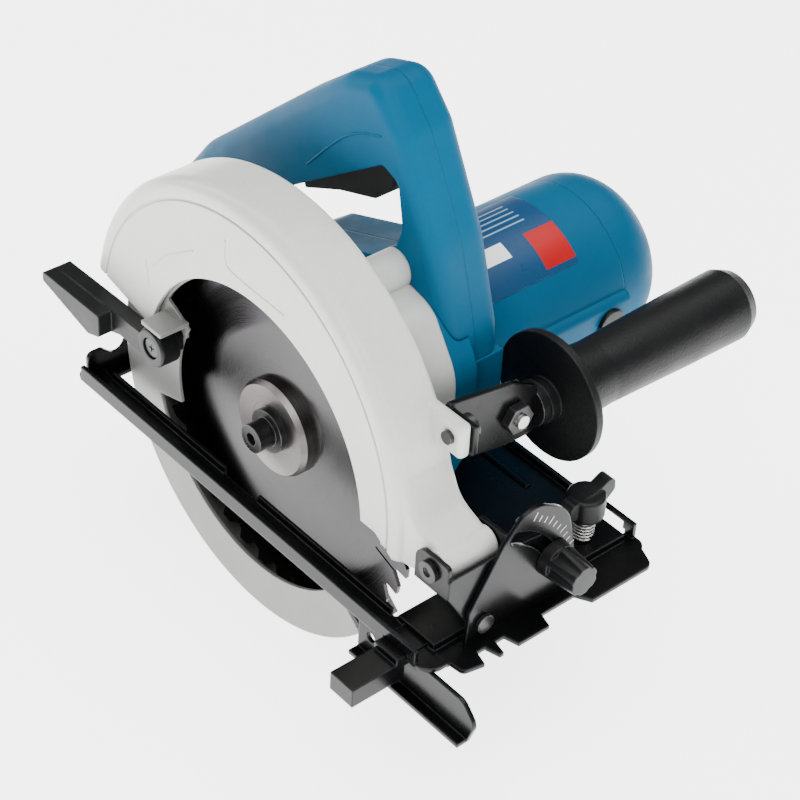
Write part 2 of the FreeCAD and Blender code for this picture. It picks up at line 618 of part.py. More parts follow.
def handle_left():
    """Left half, which takes the screws in recesses and the lock button."""
    half = handle_half(HANDLE_Y, HANDLE_FAR_Y)
    half = joined([half] + columns(HANDLE_SCREWS, HANDLE_BOSS, HANDLE_Y, HANDLE_FAR_Y - 2)
                  + columns([TRIGGER_PIVOT], TRIGGER_PIN + 2.3, HANDLE_Y + SLOT_HALF, HANDLE_FAR_Y - 2))
    for recess in columns(HANDLE_SCREWS, HANDLE_RECESS, HANDLE_FAR_Y - RECESS_DEPTH, HANDLE_FAR_Y + 1):
        half = half.cut(recess)
    for hole in columns(HANDLE_SCREWS, HANDLE_SHANK, HANDLE_Y - 1, HANDLE_FAR_Y):
        half = half.cut(hole)
    half = half.cut(rod_y(*TRIGGER_PIVOT, HANDLE_Y, HANDLE_Y + 11.5, TRIGGER_PIN + RUNNING_GAP))
    return half.cut(rod_y(*LOCK_BUTTON, HANDLE_FAR_Y - 6, HANDLE_FAR_Y + 6, 5.05))


def trigger():
    """Long finger lever with its pivot pin moulded on."""
    lever = prism_xz(TRIGGER_OUTLINE, HANDLE_Y - TRIGGER_HALF, HANDLE_Y + TRIGGER_HALF, 1.0)
    return joined([lever, rod_y(*TRIGGER_PIVOT, HANDLE_Y - 11.0, HANDLE_Y + 11.0, TRIGGER_PIN)])


def switch_body():
    return box(-22.0, -5.0, HANDLE_Y - 6.5, HANDLE_Y + 6.5, 158.0, 169.5)


def lock_button():
    return rod_y(*LOCK_BUTTON, HANDLE_FAR_Y - 4, HANDLE_FAR_Y + 3, 5.0)


def cord_inlet():
    tube = rod_x(*CORD_INLET, INLET_END_X, INLET_END_X + INLET_LENGTH, 8.0)
    return tube.cut(rod_x(*CORD_INLET, INLET_END_X - 1, INLET_END_X + INLET_LENGTH + 1, 4.0))


def shaft_lock_pin():
    return joined([rod_x(*SHAFT_LOCK, 9.2, 74.6, 2.5), rod_x(*SHAFT_LOCK, 74.6, 80.0, 5.5)])


# ---------------------------------------------------------------- side handle

def side_bracket():
    """Steel strap from the front boss of the case out to the side handle."""
    strap = prism_yz([(CASE_FAR_Y, 72), (CASE_FAR_Y, 90), (48, 84), (62, 76), (62, 52), (46, 52), (26, 56)],
                     SIDE_STRAP_X, SIDE_STRAP_X + 2.5, 2.0)
    tab = box(SIDE_STRAP_X, 106.0, CASE_FAR_Y, CASE_FAR_Y + 2.5, 74.0, 88.0)
    strap = joined([strap, tab]).cut(rod_x(*STRAP_BOLT, 80, 100, 3.5))
    return strap.cut(rod_y(*CASE_BOLT, 4.0, 20.0, 3.0))


def side_bracket_bolts():
    corners = [(STRAP_BOLT[0] + 7.2 * math.cos(math.radians(60 * side)),
                STRAP_BOLT[1] + 7.2 * math.sin(math.radians(60 * side))) for side in range(6)]
    hexagon = prism_yz(corners, SIDE_STRAP_X + 2.5, SIDE_STRAP_X + 6.5)
    stud_end = rod_x(*STRAP_BOLT, SIDE_STRAP_X + 6.5, SIDE_STRAP_X + 8.3, 3.2)
    handle_bolt = joined([rod_x(*STRAP_BOLT, 80.0, SIDE_STRAP_X + 2.5, 3.5),
                          hexagon, stud_end])
    case_bolt = joined([rod_y(*CASE_BOLT, 4.0, CASE_FAR_Y + 2.5, 3.0),
                        rod_y(*CASE_BOLT, CASE_FAR_Y + 2.5, CASE_FAR_Y + 6.0, 5.5)])
    return Part.makeCompound([handle_bolt, case_bolt])


def side_handle():
    """Grip with a wide finger disc."""
    profile = [(0, 66), (10, 66), (10, 71), (29.6, 72.5), (29.6, 76), (16, 83), (15, 100), (16.5, 150),
               (17, 180), (14.5, 186), (0, 187)]
    return turned_y(SIDE_X, SIDE_Z, profile)


def side_handle_stud():
    """Collar with a flat tongue that lies behind the strap."""
    tongue = box(80.0, SIDE_STRAP_X, 40.0, 60.0, 55.0, 74.0)
    collar = rod_y(SIDE_X - 1.0, SIDE_Z, 62.0, 66.0, 10.0)
    neck = box(80.0, SIDE_STRAP_X, 59.0, 63.0, 56.0, 70.0)
    return joined([tongue, collar, neck]).cut(rod_x(*STRAP_BOLT, 75, 100, 3.5))


# ---------------------------------------------------------------- base

def base_plate():
    main = prism_xy([(BASE_REAR, STRIP_INNER), (BASE_REAR, BASE_LEFT, 6), (BASE_FRONT, BASE_LEFT, 6),
                     (BASE_FRONT, STRIP_INNER)], 0.0, SHEET)
    strip = prism_xy([(BASE_REAR, BASE_NEAR, 4), (BASE_REAR, STRIP_INNER + 0.5), (BASE_FRONT, STRIP_INNER + 0.5),
                      (BASE_FRONT, BASE_NEAR, 8)], STRIP_LIFT, SHEET + STRIP_LIFT)
    flange = box(BASE_REAR + 4, BASE_FRONT - 8, BASE_NEAR, BASE_NEAR + SHEET, STRIP_LIFT, STRIP_FLANGE_HEIGHT)
    back = SIGHT_FRONT - 7
    sight = prism_xy([(BASE_FRONT - 1, -21), (SIGHT_FRONT - 2, -20, 3), (SIGHT_FRONT, -10), (back, -8), (back, -3.5),
                      (SIGHT_FRONT, -1.5), (SIGHT_FRONT, 0.5), (back, 2), (back, 7), (SIGHT_FRONT, 9),
                      (SIGHT_FRONT, 26), (back, 28), (back, 47), (SIGHT_FRONT, 51), (SIGHT_FRONT, 86, 4),
                      (BASE_FRONT - 1, 90)], 0.0, SHEET)
    left_flange = joined([box(BASE_REAR + 6, BASE_FRONT - 8, BASE_LEFT - SHEET, BASE_LEFT, 0.0, 5.5),
                          box(FENCE_X - 14, BASE_FRONT - 8, BASE_LEFT - SHEET, BASE_LEFT, 0.0, 9.5)])
    lips = [box(SLOT_REAR + 2, -12, STRIP_INNER - 0.4, STRIP_INNER + 1.2, STRIP_LIFT, LIP_HEIGHT),
            box(12, SLOT_FRONT - 2, STRIP_INNER - 0.4, STRIP_INNER + 1.2, STRIP_LIFT, LIP_HEIGHT)]
    left_flange = left_flange.cut(box(108, 122, BASE_LEFT - SHEET - 1, BASE_LEFT + 1, 4.0, 7.6))
    bridge = box(FENCE_X - 11, FENCE_X + 11, STRIP_INNER, BASE_LEFT - SHEET - 4, 0.0, 5.6)
    body = joined([main, strip, flange, sight, left_flange, bridge])
    slot = prism_xy([(SLOT_REAR, STRIP_INNER), (SLOT_REAR, SLOT_LEFT), (SLOT_FRONT, SLOT_LEFT),
                     (SLOT_FRONT, STRIP_INNER)], -1.0, SHEET + 2, 4.0)
    body = joined([body.cut(slot)] + lips)
    channel = box(FENCE_X - FENCE_HALF - GAP, FENCE_X + FENCE_HALF + GAP, BASE_NEAR - 1, BASE_LEFT + 1, -1.0, 4.0)
    body = body.cut(channel)
    return body.cut(rod_z(FENCE_X, FENCE_SCREW_Y, -1, 8, 3.0 + RUNNING_GAP))


def bevel_quadrant():
    """Upright plate at the front, with the arc slot of the bevel clamp."""
    plate = prism_yz([(-9, SHEET), (-8, 18, 3), (8, 46, 12), (22, 61, 12), (44, 48, 20), (55, SHEET)],
                     QUADRANT_X, QUADRANT_X + 2.0)
    place = plane_yz(QUADRANT_X - 1)

    def point(radius, degrees):
        angle = math.radians(degrees)
        return place(BEVEL_Y + radius * math.cos(angle), BEVEL_Z + radius * math.sin(angle))

    low = BEVEL_BOLT_ANGLE
    high = BEVEL_BOLT_ANGLE + BEVEL_RANGE
    near = BEVEL_BOLT_RADIUS - 3.3
    far = BEVEL_BOLT_RADIUS + 3.3
    middle = (low + high) / 2
    sides = [Part.Arc(point(far, low), point(far, middle), point(far, high)).toShape(),
             Part.makeLine(point(far, high), point(near, high)),
             Part.Arc(point(near, high), point(near, middle), point(near, low)).toShape(),
             Part.makeLine(point(near, low), point(far, low))]
    slot = Part.Face(Part.Wire(sides)).extrude(vec(4, 0, 0))
    plate = plate.cut(slot)
    for degrees in (low, high):
        end = point(BEVEL_BOLT_RADIUS, degrees)
        plate = plate.cut(rod_x(end.y, end.z, QUADRANT_X - 1, QUADRANT_X + 3, 3.3))
    return plate.cut(rod_x(BEVEL_Y, BEVEL_Z, QUADRANT_X - 1, QUADRANT_X + 3, 3.0 + RUNNING_GAP))


def rear_upright():
    """Rear wall of the base that carries the rear bevel pivot."""
    plate = prism_yz([(-30, SHEET), (-30, 15, 3), (-22, 15, 3), (-13, 7, 5), (-6, 20, 6), (12, 20, 6), (26, SHEET)],
                     BASE_REAR + 4, BASE_REAR + 6)
    plate = plate.cut(box(BASE_REAR, BASE_REAR + 8, -34, STRIP_INNER + 0.5, 0, SHEET + STRIP_LIFT))
    return plate.cut(rod_x(BEVEL_Y, BEVEL_Z, BASE_REAR, BASE_REAR + 10, 3.0 + RUNNING_GAP))


def base_rivets():
    spots = [(BASE_REAR + 14, 60), (40, 82), (-40, 82), (92, 60)]
    return Part.makeCompound([rod_z(x, y, SHEET, SHEET + 1.2, 3.0) for x, y in spots])


# ---------------------------------------------------------------- tilting frame

def bevel_bolt_axis():
    angle = math.radians(BEVEL_BOLT_ANGLE)
    return (BEVEL_Y + BEVEL_BOLT_RADIUS * math.cos(angle), BEVEL_Z + BEVEL_BOLT_RADIUS * math.sin(angle))


def front_bracket():
    """Tilting bracket: a cross plate with two cheeks that hold the depth pivot pin."""
    plate_x = QUADRANT_X - 2.3
    cross = prism_yz([(-18.4, 30), (-18.4, 40, 2), (16, 40, 3), (34, 38, 6), (46, 26, 6), (38, 14, 6), (7, 6),
                      (-6, 9.5)], plate_x, QUADRANT_X - GAP)
    eye = rod_x(BEVEL_Y, BEVEL_Z, plate_x, QUADRANT_X - GAP, 6.5)
    cheeks = [prism_xz([(109, 29), (109, 46, 6), (plate_x + 1, 46, 2), (plate_x + 1, 29)], y_low, y_low + 2.0)
              for y_low in (-18.4, 12.6)]
    body = joined([cross, eye] + cheeks)
    body = body.cut(rod_y(FRONT_PIVOT_X, FRONT_PIVOT_Z, -25, 25, 4.0))
    return body.cut(rod_x(*bevel_bolt_axis(), 120, 132, 3.0)).cut(rod_x(BEVEL_Y, BEVEL_Z, 120, 132, 3.0))


def depth_pivot_pin():
    head = rod_y(FRONT_PIVOT_X, FRONT_PIVOT_Z, -20.4, -18.4, 4.9).cut(rod_y(FRONT_PIVOT_X, FRONT_PIVOT_Z, -21, -19.4, 2.2))
    return joined([rod_y(FRONT_PIVOT_X, FRONT_PIVOT_Z, -18.4, 16.0, 4.0), head])


def bevel_pins():
    front = joined([rod_x(BEVEL_Y, BEVEL_Z, QUADRANT_X - 2.3, QUADRANT_X + 2.3, 3.0),
                    rod_x(BEVEL_Y, BEVEL_Z, QUADRANT_X + 2.3, QUADRANT_X + 4.0, 4.3)])
    rear = joined([rod_x(BEVEL_Y, BEVEL_Z, BASE_REAR + 3.7, BASE_REAR + 8.3, 3.0),
                   rod_x(BEVEL_Y, BEVEL_Z, BASE_REAR + 2.0, BASE_REAR + 3.7, 5.0)])
    return Part.makeCompound([front, rear])


def bevel_bolt():
    return rod_x(*bevel_bolt_axis(), QUADRANT_X - 2.3, 144.0, 3.0)


def bevel_knob():
    """Tapered knob with six flutes, bored to run on the clamp bolt."""
    bolt_y, bolt_z = bevel_bolt_axis()
    start = QUADRANT_X + 2.0 + GAP
    body = Part.makeCone(8.8, 7.0, 19.0, vec(start, bolt_y, bolt_z), vec(1, 0, 0))
    for index in range(6):
        turn = math.radians(60 * index)
        flute = rod_x(bolt_y + 10.0 * math.cos(turn), bolt_z + 10.0 * math.sin(turn), start + 5, start + 30, 3.6)
        body = body.cut(flute)
    return body.cut(rod_x(bolt_y, bolt_z, start - 1, 145.0, 3.0 + RUNNING_GAP))


def depth_guide():
    """Arc plate behind the case; its slot follows the depth bolt about the front pivot."""
    radius = math.hypot(DEPTH_BOLT_X - FRONT_PIVOT_X, DEPTH_BOLT_Z - FRONT_PIVOT_Z)
    pivot = {"x": FRONT_PIVOT_X, "z": FRONT_PIVOT_Z}
    strip = sector_xz(radius - 8, radius + 8, 155.5, 187.0, GUIDE_Y, GUIDE_TOP_Y, **pivot)
    slot = sector_xz(radius - 3.4, radius + 3.4, 157.3, 182.5, GUIDE_Y - 1, GUIDE_TOP_Y + 1, **pivot)
    foot = prism_xz([(-100, 6), (-100, 26), (-86, 26), (-72, 16), (-72, 6)], GUIDE_Y, GUIDE_TOP_Y)
    ear = rod_x(BEVEL_Y, BEVEL_Z, BASE_REAR + 6 + GAP, BASE_REAR + 8.3, 6.0)
    arm = box(BASE_REAR + 6 + GAP, BASE_REAR + 8.3, BEVEL_Y, GUIDE_TOP_Y, 6.5, 15.0)
    bridge = box(BASE_REAR + 6 + GAP, -98.0, GUIDE_Y, GUIDE_TOP_Y, 6.5, 15.0)
    body = joined([strip.cut(slot), foot.cut(slot), ear, arm, bridge])
    return body.cut(rod_x(BEVEL_Y, BEVEL_Z, BASE_REAR, BASE_REAR + 10, 3.0))


def depth_bolt():
    return rod_y(DEPTH_BOLT_X, DEPTH_BOLT_Z, CASE_BACK_Y, 26.0, 3.0)


def depth_lever():
    hub = rod_y(DEPTH_BOLT_X, DEPTH_BOLT_Z, GUIDE_TOP_Y + GAP, 25.0, 8.0)
    arm = prism_xz([(-108, 48), (-106, 54), (-72, 43), (-74, 29)], 18.5, 24.0, 2.5)
    return joined([hub, arm]).cut(rod_y(DEPTH_BOLT_X, DEPTH_BOLT_Z, 10, 30, 3.0 + RUNNING_GAP))


# ---------------------------------------------------------------- rip fence

def fence_bar():
    bar = box(FENCE_X - FENCE_HALF, FENCE_X + FENCE_HALF, -30.0, BASE_LEFT - 8, 0.8, 3.4)
    nose = box(FENCE_X - FENCE_HALF, FENCE_X + FENCE_HALF, FENCE_END_Y, BASE_NEAR - 0.6, -9.0, 0.3)
    neck = box(FENCE_X - FENCE_HALF, FENCE_X + FENCE_HALF, -38.0, -30.0, -2.0, 3.4)
    return joined([bar, nose, neck])


def fence_plate():
    wall = prism_xz([(90, -20), (90, 0.2, 3), (154, 0.2, 6), (162, -8, 6), (158, -20)], -30.0, -28.0)
    foot = box(90.0, 158.0, -35.0, -28.0, -20.0, -18.0)
    wall = wall.cut(rod_y(98.0, -8.0, -31, -27, 2.5))
    return joined([wall, foot])


def fence_screw():
    """Wing screw that clamps the bar from above: a squat drum with a broad oval wing."""
    shank = rod_z(FENCE_X, FENCE_SCREW_Y, 3.9, 24.0, 3.0)
    drum = rod_z(FENCE_X, FENCE_SCREW_Y, 18.0, 30.0, 8.6)
    drum = drum.makeFillet(1.6, [edge for edge in drum.Edges if edge.BoundBox.ZLength < 0.1])
    wing = prism_yz([(FENCE_SCREW_Y - 12, 21, 3), (FENCE_SCREW_Y + 8, 22, 2), (FENCE_SCREW_Y + 14, 27, 3),
                     (FENCE_SCREW_Y + 13, 35.5, 3), (FENCE_SCREW_Y + 3, 30.5, 2), (FENCE_SCREW_Y - 12, 29.5, 3)],
                    FENCE_X - 3.2, FENCE_X + 3.2)
    return joined([shank, drum, wing])


def fence_screw_spring():
    """Compression coil under the wing screw."""
    coil_radius = 4.6
    half_pitch = 0.86
    points = [vec(FENCE_X + (coil_radius if index % 2 == 0 else -coil_radius), FENCE_SCREW_Y,
                  7.0 + half_pitch * index) for index in range(12)]
    return half_turns(points, vec(0, 1, 0), 0.6)


# ---------------------------------------------------------------- fasteners

def handle_screws():
    seat = HANDLE_FAR_Y - RECESS_DEPTH
    return screws(HANDLE_SCREWS, 3.3, seat, seat + 2.4, HANDLE_SHANK, HANDLE_Y - SCREW_GRIP)


def gear_housing_screws():
    return screws(HOUSING_SCREWS, 4.0, BARREL_Y, BARREL_Y + 2.6, SCREW_SHANK, 20.0)


NODES = [
    base_plate, bevel_quadrant, rear_upright, base_rivets,
    front_bracket, depth_pivot_pin, bevel_pins, bevel_bolt, depth_guide, bevel_knob, depth_lever,
    blade_case, gear_housing, bearing_retainer, guard_spring, guard_stop, spindle_bearing_front,
    spindle_bearing_rear, motor_housing, motor_end_cover, armature_bearing_front, armature_bearing_rear,
    field_core, fan_baffle, brushes, brush_holders, brush_cap, label_plate, handle_right, handle_left,
    switch_body, cord_inlet, depth_bolt, side_bracket, side_bracket_bolts, side_handle, side_handle_stud,
    handle_screws, gear_housing_screws,
    lower_guard, guard_lever, guard_lever_screw,
    blade, inner_flange, outer_flange, blade_bolt, spindle, spindle_gear,
    armature_shaft, armature_core, commutator, fan,
    trigger, lock_button, shaft_lock_pin,
    fence_bar, fence_plate, fence_screw, fence_screw_spring,
]


def main():
    os.makedirs("parts", exist_ok=True)
    for maker in NODES:
        shape = maker()
        shape.exportStep(f"parts/{maker.__name__}.step")
        box_of = shape.BoundBox
        print(f"{maker.__name__:24s} valid {shape.isValid()} solids {len(shape.Solids)} "
              f"volume {shape.Volume:10.1f}  x {box_of.XMin:7.1f} {box_of.XMax:7.1f}  "
              f"y {box_of.YMin:7.1f} {box_of.YMax:7.1f}  z {box_of.ZMin:7.1f} {box_of.ZMax:7.1f}")


main()
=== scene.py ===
import json
import math
import bpy
from mathutils import Matrix, Vector


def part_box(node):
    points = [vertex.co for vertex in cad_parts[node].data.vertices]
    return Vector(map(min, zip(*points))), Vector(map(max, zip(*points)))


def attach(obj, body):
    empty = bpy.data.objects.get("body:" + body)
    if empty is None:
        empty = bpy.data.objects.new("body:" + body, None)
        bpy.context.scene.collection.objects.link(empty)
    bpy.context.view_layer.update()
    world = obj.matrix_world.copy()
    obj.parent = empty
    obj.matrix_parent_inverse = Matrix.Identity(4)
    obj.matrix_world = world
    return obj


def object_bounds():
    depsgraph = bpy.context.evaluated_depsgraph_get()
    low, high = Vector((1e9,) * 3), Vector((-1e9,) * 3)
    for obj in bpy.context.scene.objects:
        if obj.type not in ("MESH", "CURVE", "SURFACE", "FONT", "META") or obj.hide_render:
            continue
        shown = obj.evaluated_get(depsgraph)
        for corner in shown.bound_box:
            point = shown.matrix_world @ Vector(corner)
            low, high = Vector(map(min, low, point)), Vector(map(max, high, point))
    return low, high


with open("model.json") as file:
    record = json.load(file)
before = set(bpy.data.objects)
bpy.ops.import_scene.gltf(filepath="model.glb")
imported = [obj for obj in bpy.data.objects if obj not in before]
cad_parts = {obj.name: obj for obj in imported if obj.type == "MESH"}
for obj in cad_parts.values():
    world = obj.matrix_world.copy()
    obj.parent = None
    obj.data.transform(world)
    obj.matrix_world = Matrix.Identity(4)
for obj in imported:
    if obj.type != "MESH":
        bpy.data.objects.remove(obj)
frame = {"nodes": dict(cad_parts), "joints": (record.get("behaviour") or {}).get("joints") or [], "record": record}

cad_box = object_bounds()
NODES = frame["nodes"]
ARBOR = Vector(next(j for j in frame["joints"] if j["name"] == "blade_spin")["pos_m"])
MOTOR_AXIS = Vector(next(j for j in frame["joints"] if j["name"] == "armature_spin")["pos_m"])

# ------------------------------------------------------------------ camera

CAMERA_AZIMUTH = math.radians(47.2)
CAMERA_ELEVATION = math.radians(38.66)
CAMERA_ROLL = math.radians(3.5)
CAMERA_LENS = 105.61
CAMERA_DISTANCE = 0.93837
CAMERA_SENSOR = 36.0
CAMERA_NEAREST = 0.01
CAMERA_TARGET = Vector((0.07438, 0.0, 0.08834))


def place_camera():
    """Camera on a sphere about its target, then turned about its own line of sight."""
    back = Vector((math.sin(CAMERA_AZIMUTH) * math.cos(CAMERA_ELEVATION),
                   -math.cos(CAMERA_AZIMUTH) * math.cos(CAMERA_ELEVATION),
                   math.sin(CAMERA_ELEVATION)))
    right = Vector((math.cos(CAMERA_AZIMUTH), math.sin(CAMERA_AZIMUTH), 0.0))
    up = back.cross(right)
    rolled_right = right * math.cos(CAMERA_ROLL) + up * math.sin(CAMERA_ROLL)
    rolled_up = up * math.cos(CAMERA_ROLL) - right * math.sin(CAMERA_ROLL)
    turn = Matrix((rolled_right, rolled_up, back)).transposed().to_4x4()
    data = bpy.data.cameras.new("camera")
    data.lens = CAMERA_LENS
    data.sensor_width = CAMERA_SENSOR
    data.clip_start = CAMERA_NEAREST
    camera = bpy.data.objects.new("camera", data)
    camera.matrix_world = Matrix.Translation(CAMERA_TARGET + back * CAMERA_DISTANCE) @ turn
    bpy.context.scene.collection.objects.link(camera)
    bpy.context.scene.camera = camera


place_camera()

# ------------------------------------------------------------------ materials

COAT_ROUGHNESS = 0.12
GRINDING_SCALE = 2600.0


class Paint:
    """A node tree that is written one call at a time."""

    def __init__(self, name):
        self.material = bpy.data.materials.new(name)
        self.material.use_nodes = True
        self.tree = self.material.node_tree
        self.tree.nodes.clear()
        output = self.tree.nodes.new("ShaderNodeOutputMaterial")
        self.shader = self.tree.nodes.new("ShaderNodeBsdfPrincipled")
        self.tree.links.new(self.shader.outputs[0], output.inputs[0])
        self.place = self.node("ShaderNodeTexCoord").outputs["Object"]

    def node(self, kind, **settings):
        made = self.tree.nodes.new(kind)
        for key, value in settings.items():
            setattr(made, key, value)
        return made

    def put(self, socket, value):
        if isinstance(value, bpy.types.NodeSocket):
            self.tree.links.new(value, socket)
        else:
            socket.default_value = value

    def noise(self, scale, detail=3.0, roughness=0.5, at=None):
        made = self.node("ShaderNodeTexNoise")
        self.put(made.inputs["Vector"], at or self.place)
        made.inputs["Scale"].default_value = scale
        made.inputs["Detail"].default_value = detail
        made.inputs["Roughness"].default_value = roughness
        return made.outputs["Fac"]

    def math(self, operation, a, b=0.0, c=0.0):
        made = self.node("ShaderNodeMath", operation=operation)
        for index, value in enumerate((a, b, c)):
            self.put(made.inputs[index], value)
        return made.outputs[0]

    def spread(self, value, low, high, start=0.3, end=0.7):
        made = self.node("ShaderNodeMapRange")
        self.put(made.inputs["Value"], value)
        made.inputs["From Min"].default_value = start
        made.inputs["From Max"].default_value = end
        made.inputs["To Min"].default_value = low
        made.inputs["To Max"].default_value = high
        return made.outputs[0]

    def mix(self, factor, a, b):
        made = self.node("ShaderNodeMix", data_type="RGBA")
        self.put(made.inputs["Factor"], factor)
        self.put(made.inputs[6], (*a, 1.0) if isinstance(a, tuple) else a)
        self.put(made.inputs[7], (*b, 1.0) if isinstance(b, tuple) else b)
        return made.outputs[2]

    def xyz(self):
        made = self.node("ShaderNodeSeparateXYZ")
        self.put(made.inputs[0], self.place)
        return made.outputs

    def bump(self, height, strength, distance, rounding=0.0):
        made = self.node("ShaderNodeBump")
        made.inputs["Strength"].default_value = strength
        made.inputs["Distance"].default_value = distance
        self.put(made.inputs["Height"], height)
        if rounding:
            edge = self.node("ShaderNodeBevel", samples=6)
            edge.inputs["Radius"].default_value = rounding
            self.put(made.inputs["Normal"], edge.outputs[0])
        self.put(self.shader.inputs["Normal"], made.outputs[0])

    def edges(self, radius, low=0.86, high=0.995):
        """1 along sharp edges and 0 on flat faces."""
        edge = self.node("ShaderNodeBevel", samples=6)
        edge.inputs["Radius"].default_value = radius
        normal = self.node("ShaderNodeNewGeometry").outputs["Normal"]
        dot = self.node("ShaderNodeVectorMath", operation="DOT_PRODUCT")
        self.put(dot.inputs[0], edge.outputs[0])
        self.put(dot.inputs[1], normal)
        return self.spread(dot.outputs["Value"], 1.0, 0.0, low, high)

    def set(self, **values):
        for key, value in values.items():
            self.put(self.shader.inputs[key.replace("_", " ")], value)
        return self


def tint(color, factor):
    return tuple(min(1.0, channel * factor) for channel in color)


def plain(name, color, rough, grain=1400.0, depth=0.00005, strength=0.35, metallic=0.0, rounding=0.0007,
          spread=0.12, wear_and_edge_highlight=None, coat=0.0, specular=0.5):
    """A finish with drifting tone, uneven gloss, a fine grain, softened edges and, with a wear colour, lighter
    edges that are partly wear and partly a painted highlight.
    """
    paint = Paint(name)
    drift = paint.noise(22.0, 4.0, 0.6)
    speck = paint.noise(grain * 0.45, 2.0)
    tone = paint.mix(paint.spread(drift, 0.0, 1.0), tint(color, 1.0 - spread), tint(color, 1.0 + spread))
    tone = paint.mix(paint.spread(speck, 0.0, 0.25), tone, tint(color, 0.8))
    # Lighter colour in patches along sharp edges: partly edge wear, partly a painted edge highlight.
    if wear_and_edge_highlight:
        patches = paint.spread(paint.noise(260.0), 0.25, 1.0)
        chips_and_edge_highlight = paint.math("MULTIPLY", paint.edges(rounding * 1.3), patches)
        tone = paint.mix(chips_and_edge_highlight, tone, wear_and_edge_highlight)
    paint.set(Base_Color=tone, Metallic=metallic, Coat_Weight=coat, Coat_Roughness=COAT_ROUGHNESS,
              Specular_IOR_Level=specular)
    smears = paint.noise(55.0, 5.0, 0.65)
    paint.put(paint.shader.inputs["Roughness"], paint.spread(smears, rough * 0.78, rough * 1.22, 0.25, 0.75))
    paint.bump(paint.noise(grain, 2.0, 0.5), strength, depth, rounding)
    return paint


def turned_steel(name, color, rough, anisotropy, center):
    """Steel with concentric grinding lines about the arbor."""
    paint = Paint(name)
    x, _, z = paint.xyz()
    dx = paint.math("SUBTRACT", x, center.x)
    dz = paint.math("SUBTRACT", z, center.z)
    squares = paint.math("ADD", paint.math("MULTIPLY", dx, dx), paint.math("MULTIPLY", dz, dz))
    radius = paint.math("SQRT", squares)
    rings = paint.node("ShaderNodeTexNoise", noise_dimensions="1D")
    paint.put(rings.inputs["W"], radius)
    rings.inputs["Scale"].default_value = GRINDING_SCALE
    rings.inputs["Detail"].default_value = 5.0
    line = rings.outputs["Fac"]
    tone = paint.mix(paint.spread(line, 0.0, 1.0), tint(color, 0.88), tint(color, 1.1))
    cloud = paint.spread(paint.noise(34.0, 4.0, 0.6), 0.0, 0.5)
    tone = paint.mix(cloud, tone, tint(color, 0.7))
    paint.set(Base_Color=tone, Metallic=1.0, Anisotropic=anisotropy,
              Roughness=paint.spread(line, rough * 0.8, rough * 1.25))
    tangent = paint.node("ShaderNodeTangent", direction_type="RADIAL", axis="Y")
    paint.put(paint.shader.inputs["Tangent"], tangent.outputs[0])
    paint.bump(line, 0.12, 0.00004, 0.0)
    return paint


# The wear colours below lighten sharp edges in patches: partly edge wear, partly a painted edge highlight.
BLACK_PAINT = plain("black_paint", (0.0022, 0.0023, 0.0026), 0.25, grain=900.0, depth=0.00003, strength=0.2,
                    rounding=0.0011, specular=0.18, wear_and_edge_highlight=(0.022, 0.023, 0.025))
CASE_PAINT = plain("case_paint", (0.62, 0.63, 0.585), 0.34, grain=1100.0, depth=0.00004, strength=0.22,
                   rounding=0.0014, spread=0.035, coat=0.15, wear_and_edge_highlight=(0.78, 0.78, 0.75))
GUARD_PAINT = plain("guard_paint", (0.185, 0.19, 0.178), 0.38, grain=1100.0, depth=0.00004, strength=0.22,
                    rounding=0.0009, spread=0.05, wear_and_edge_highlight=(0.33, 0.33, 0.315))
CAST_ALLOY = plain("cast_alloy", (0.50, 0.515, 0.49), 0.46, grain=800.0, depth=0.00012, strength=0.4,
                   metallic=0.1, rounding=0.0012, spread=0.08)
BLUE_PLASTIC = plain("blue_plastic", (0.0, 0.082, 0.168), 0.50, grain=1500.0, depth=0.00009, strength=0.5,
                     rounding=0.0012, spread=0.07, specular=0.10)
BLACK_PLASTIC = plain("black_plastic", (0.0040, 0.0042, 0.0046), 0.38, grain=1500.0, depth=0.00009,
                      strength=0.5, rounding=0.0010, specular=0.22, wear_and_edge_highlight=(0.026, 0.026, 0.028))
GRIP_PLASTIC = plain("grip_plastic", (0.0030, 0.0032, 0.0036), 0.44, grain=950.0, depth=0.00028, strength=0.7,
                     rounding=0.0010, specular=0.2, wear_and_edge_highlight=(0.022, 0.022, 0.024))
BLADE_STEEL = turned_steel("blade_steel", (0.052, 0.050, 0.052), 0.22, 0.9, ARBOR)
FLANGE_STEEL = turned_steel("flange_steel", (0.20, 0.185, 0.18), 0.34, 0.6, ARBOR)
DARK_STEEL = plain("dark_steel", (0.012, 0.012, 0.013), 0.30, grain=700.0, metallic=0.4, rounding=0.0006,
                   wear_and_edge_highlight=(0.13, 0.13, 0.13))
ZINC_STEEL = plain("zinc_steel", (0.50, 0.50, 0.48), 0.28, grain=600.0, metallic=1.0, rounding=0.0005)
COPPER = plain("copper", (0.60, 0.27, 0.13), 0.3, grain=500.0, metallic=1.0, rounding=0.0003)
CARBON = plain("carbon", (0.02, 0.02, 0.02), 0.6, grain=900.0, rounding=0.0004)
RUBBER = plain("rubber", (0.010, 0.010, 0.011), 0.62, grain=700.0, strength=0.5, rounding=0.0008)
TICK_PAINT = plain("tick_paint", (0.55, 0.55, 0.53), 0.4, grain=900.0, rounding=0.0002)


LABEL_ROWS = 14.0
LABEL_BLUE = (0.006, 0.050, 0.130)
LABEL_DEEP_BLUE = (0.004, 0.036, 0.098)
LABEL_BAR = (0.22, 0.33, 0.44)
LABEL_WHITE = (0.86, 0.88, 0.88)
LABEL_RED = (0.40, 0.002, 0.005)


